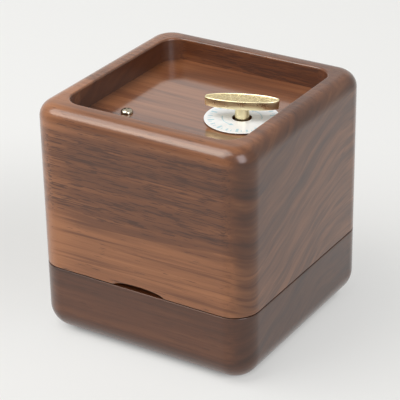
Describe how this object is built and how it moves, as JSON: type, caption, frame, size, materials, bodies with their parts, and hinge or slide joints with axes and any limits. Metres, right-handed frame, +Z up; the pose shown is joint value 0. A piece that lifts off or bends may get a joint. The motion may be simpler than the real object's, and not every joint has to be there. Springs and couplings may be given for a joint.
{
  "type": "ballerina music box",
  "caption": "Square walnut music box standing on its hinged lid, with a winding key in a recess, a pinned cylinder movement, and a turning ballerina inside.",
  "frame": {"origin": "centre of the lid's outer face, on which the box stands as pictured", "axes": "+Z up from the lid's face to the rim round the winding key; -Y is the front with the thumb notch; +X to the right seen from the front"},
  "size_m": [0.09, 0.0922, 0.0926],
  "materials": {
    "walnut_case": "satin lacquer over dark walnut",
    "walnut_lid": "satin lacquer over dark walnut",
    "walnut_deck": "thin satin lacquer",
    "mirror": "silvered glass",
    "printed_disc": "white card print under clear film",
    "screw_chrome": "bright plated",
    "polished_brass": "polished",
    "movement_brass": "fine machined",
    "nickel_steel": "nickel plated",
    "spring_steel": "blued, oiled",
    "nylon": "moulded, natural white",
    "painted_figure": "painted moulded plastic",
    "tutu_net": "stiffened net"
  },
  "bodies": {
    "lid": {"lid_shell": "walnut_lid", "lid_mirror": "mirror", "hinge_lid_leaf_left": "polished_brass", "hinge_lid_leaf_right": "polished_brass", "hinge_pin_left": "nickel_steel", "hinge_pin_right": "nickel_steel", "hinge_lid_screw_1": "polished_brass", "hinge_lid_screw_2": "polished_brass", "hinge_lid_screw_3": "polished_brass", "hinge_lid_screw_4": "polished_brass"},
    "case": {"case_shell": "walnut_case", "deck_board": "walnut_deck", "deck_screw_1": "movement_brass", "deck_screw_2": "movement_brass", "deck_screw_3": "movement_brass", "deck_screw_4": "movement_brass", "bedplate_screw_1": "screw_chrome", "bedplate_screw_2": "screw_chrome", "bedplate_screw_3": "screw_chrome", "key_disc": "printed_disc", "hinge_case_leaf_left": "polished_brass", "hinge_case_leaf_right": "polished_brass", "hinge_case_screw_1": "polished_brass", "hinge_case_screw_2": "polished_brass", "hinge_case_screw_3": "polished_brass", "hinge_case_screw_4": "polished_brass", "bedplate": "nickel_steel", "spring_housing": "nickel_steel", "mainspring": "spring_steel", "comb": "nickel_steel", "comb_seat": "spring_steel", "comb_screw_1": "movement_brass", "comb_screw_2": "movement_brass", "bearing_left": "nickel_steel", "bearing_right": "nickel_steel", "governor_bracket": "movement_brass", "spindle_bush": "movement_brass", "stop_spring": "spring_steel"},
    "key": {"winding_key": "polished_brass", "winding_arbor": "nickel_steel", "great_wheel": "movement_brass", "turntable_drive_wheel": "movement_brass"},
    "cylinder": {"cylinder_drum": "movement_brass", "cylinder_arbor": "nickel_steel", "cylinder_pinion": "nylon", "cylinder_wheel": "movement_brass"},
    "governor": {"governor_arbor": "nickel_steel", "governor_pinion": "movement_brass", "governor_wheel": "nylon"},
    "fly_spindle": {"worm": "nickel_steel", "fly": "nylon"},
    "turntable": {"turntable_wheel": "nylon", "turntable_spindle": "nickel_steel", "turntable": "polished_brass", "ballerina_figure": "painted_figure", "ballerina_tutu": "tutu_net"},
    "stop": {"stop_rod": "movement_brass"}
  },
  "joints": [
    {"name": "case_hinge", "type": "hinge", "parent": "lid", "child": "case", "pos_m": [0, 0.0458, 0.028], "axis": [-1, 0, 0], "range_deg": [0, 95]},
    {"name": "key_spin", "type": "hinge", "parent": "case", "child": "key", "pos_m": [0.0183, -0.0011, 0.084], "axis": [0, 0, 1], "continuous": true},
    {"name": "cylinder_spin", "type": "hinge", "parent": "case", "child": "cylinder", "pos_m": [-0.00647, -0.0011, 0.0696], "axis": [1, 0, 0], "continuous": true},
    {"name": "governor_spin", "type": "hinge", "parent": "case", "child": "governor", "pos_m": [-0.0198, 0.0069, 0.0696], "axis": [1, 0, 0], "continuous": true},
    {"name": "fly_spin", "type": "hinge", "parent": "case", "child": "fly_spindle", "pos_m": [-0.02215, 0.0124, 0.0671], "axis": [0, 0, 1], "continuous": true},
    {"name": "turntable_spin", "type": "hinge", "parent": "case", "child": "turntable", "pos_m": [0.0003, -0.0011, 0.0524], "axis": [0, 0, 1], "continuous": true},
    {"name": "stop_slide", "type": "slide", "parent": "case", "child": "stop", "axis": [0, 0, -1], "range_m": [0, 0.002], "deforming": ["stop_spring"]}
  ],
  "couplings": [
    {"joint": "cylinder_spin", "follows": "key_spin", "ratio": -2},
    {"joint": "governor_spin", "follows": "key_spin", "ratio": 6},
    {"joint": "fly_spin", "follows": "key_spin", "ratio": -96},
    {"joint": "turntable_spin", "follows": "key_spin", "ratio": -2},
    {"joint": "stop_slide", "follows": "case_hinge", "m_per_rad": 0.0012}
  ]
}
